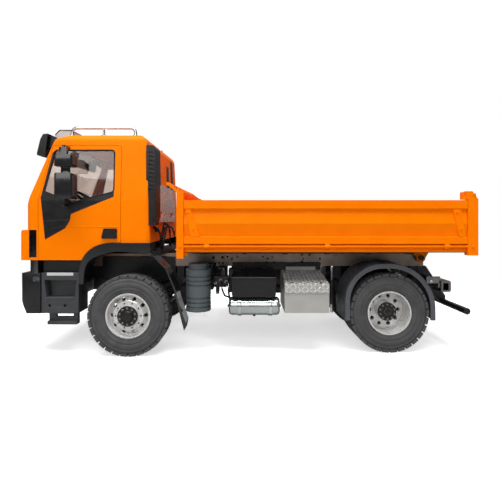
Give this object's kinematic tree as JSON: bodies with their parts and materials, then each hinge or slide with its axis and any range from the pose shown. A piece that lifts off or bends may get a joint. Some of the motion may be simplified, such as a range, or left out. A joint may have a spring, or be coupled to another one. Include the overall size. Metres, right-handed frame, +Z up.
{
  "type": "two-axle tipper truck, 1:14 scale model",
  "caption": "Forward-cab tipper truck model with opening doors, steering, turning wheels and a tipping body with drop sides and tailgate.",
  "frame": {"origin": "on the ground, below the middle of the model", "axes": "+X forward towards the cab, +Y to the model's left, +Z up"},
  "size_m": [0.479, 0.2, 0.245],
  "materials": {
    "cab_paint": "satin orange enamel",
    "body_paint": "satin orange enamel",
    "black_plastic": "moulded",
    "grey_plastic": "moulded",
    "pale_plastic": "moulded",
    "frame_metal": "satin",
    "rim_metal": "satin",
    "plate_metal": "satin",
    "steel": "brushed",
    "tyre_rubber": "moulded",
    "cab_glass": "tinted",
    "lamp_lens": "clear",
    "interior": "moulded"
  },
  "bodies": {
    "root": {"air_filter": "grey_plastic", "air_intake": "black_plastic", "air_tank": "plate_metal", "battery_box": "black_plastic", "bumper": "black_plastic", "cab_shell": "cab_paint", "cross_members": "frame_metal", "dashboard": "interior", "door_steps": "black_plastic", "drop_arms": "frame_metal", "frame_rails": "frame_metal", "front_axle": "frame_metal", "front_fenders": "black_plastic", "front_panel": "cab_paint", "fuel_tank": "plate_metal", "grille": "black_plastic", "headlights": "lamp_lens", "leaf_springs": "frame_metal", "motor_and_gearbox": "frame_metal", "propeller_shafts": "steel", "rear_axle": "frame_metal", "rear_lights": "black_plastic", "rear_mudguards": "grey_plastic", "rear_wall_plate": "plate_metal", "roof_light_box": "pale_plastic", "roof_rack": "steel", "seats": "interior", "sun_visor": "black_plastic", "tool_box": "plate_metal", "underrun_bar": "black_plastic", "windscreen": "cab_glass"},
    "knuckle_left": {"knuckle_left": "steel"},
    "knuckle_right": {"knuckle_right": "steel"},
    "track_rod": {"track_rod": "steel"},
    "wheel_front_left": {"front_tyre_left": "tyre_rubber", "front_rim_left": "rim_metal"},
    "wheel_front_right": {"front_tyre_right": "tyre_rubber", "front_rim_right": "rim_metal"},
    "wheels_rear_left": {"rear_tyres_left": "tyre_rubber", "rear_rims_left": "rim_metal"},
    "wheels_rear_right": {"rear_tyres_right": "tyre_rubber", "rear_rims_right": "rim_metal"},
    "door_left": {"door_left": "cab_paint", "door_glass_left": "cab_glass", "door_trim_left": "rim_metal", "mirrors_left": "black_plastic"},
    "door_right": {"door_right": "cab_paint", "door_glass_right": "cab_glass", "door_trim_right": "rim_metal", "mirrors_right": "black_plastic"},
    "tipper_body": {"bed_floor": "body_paint", "bed_posts": "body_paint", "headboard": "body_paint"},
    "side_board_left": {"side_board_left": "body_paint"},
    "side_board_right": {"side_board_right": "body_paint"},
    "tailgate": {"tailgate": "body_paint"},
    "hoist_barrel": {"hoist_barrel": "steel"},
    "hoist_rod": {"hoist_rod": "steel"}
  },
  "joints": [
    {"name": "steer_left", "type": "hinge", "parent": "root", "child": "knuckle_left", "pos_m": [0.125, 0.062, 0.0425], "axis": [0, 0, 1], "range_deg": [-25, 25]},
    {"name": "steer_right", "type": "hinge", "parent": "root", "child": "knuckle_right", "pos_m": [0.125, -0.062, 0.0425], "axis": [0, 0, 1], "range_deg": [-25.5, 25.5]},
    {"name": "track_rod_slide", "type": "slide", "parent": "root", "child": "track_rod", "axis": [0, 1, 0], "range_m": [-0.0075, 0.0075]},
    {"name": "front_left_roll", "type": "hinge", "parent": "knuckle_left", "child": "wheel_front_left", "pos_m": [0.125, 0.078, 0.0425], "axis": [0, 1, 0], "continuous": true},
    {"name": "front_right_roll", "type": "hinge", "parent": "knuckle_right", "child": "wheel_front_right", "pos_m": [0.125, -0.078, 0.0425], "axis": [0, 1, 0], "continuous": true},
    {"name": "rear_left_roll", "type": "hinge", "parent": "root", "child": "wheels_rear_left", "pos_m": [-0.152, 0.0555, 0.0425], "axis": [0, 1, 0], "continuous": true},
    {"name": "rear_right_roll", "type": "hinge", "parent": "root", "child": "wheels_rear_right", "pos_m": [-0.152, -0.0555, 0.0425], "axis": [0, 1, 0], "continuous": true},
    {"name": "door_left_hinge", "type": "hinge", "parent": "root", "child": "door_left", "pos_m": [0.22225, 0.082, 0.14], "axis": [0, 0, -1], "range_deg": [0, 65]},
    {"name": "door_right_hinge", "type": "hinge", "parent": "root", "child": "door_right", "pos_m": [0.22225, -0.082, 0.14], "axis": [0, 0, 1], "range_deg": [0, 65]},
    {"name": "bed_tilt", "type": "hinge", "parent": "root", "child": "tipper_body", "pos_m": [-0.204, 0, 0.098], "axis": [0, -1, 0], "range_deg": [0, 45]},
    {"name": "side_board_left_hinge", "type": "hinge", "parent": "tipper_body", "child": "side_board_left", "pos_m": [-0.08, 0.0905, 0.115], "axis": [-1, 0, 0], "range_deg": [0, 170]},
    {"name": "side_board_right_hinge", "type": "hinge", "parent": "tipper_body", "child": "side_board_right", "pos_m": [-0.08, -0.0905, 0.115], "axis": [1, 0, 0], "range_deg": [0, 170]},
    {"name": "tailgate_hinge", "type": "hinge", "parent": "tipper_body", "child": "tailgate", "pos_m": [-0.2336, 0, 0.1687], "axis": [0, 1, 0], "range_deg": [0, 75]},
    {"name": "hoist_barrel_hinge", "type": "hinge", "parent": "root", "child": "hoist_barrel", "pos_m": [-0.16, 0, 0.076], "axis": [0, -1, 0], "range_deg": [0, 53.77]},
    {"name": "hoist_rod_slide", "type": "slide", "parent": "hoist_barrel", "child": "hoist_rod", "axis": [0.9635, 0, 0.2676], "range_m": [0, 0.03262]}
  ],
  "couplings": [
    {"joint": "steer_right", "follows": "steer_left", "ratio": 1},
    {"joint": "track_rod_slide", "follows": "steer_left", "m_per_rad": -0.016},
    {"joint": "hoist_barrel_hinge", "follows": "bed_tilt", "ratio": 1.1838},
    {"joint": "hoist_rod_slide", "follows": "bed_tilt", "m_per_rad": 0.04103}
  ]
}
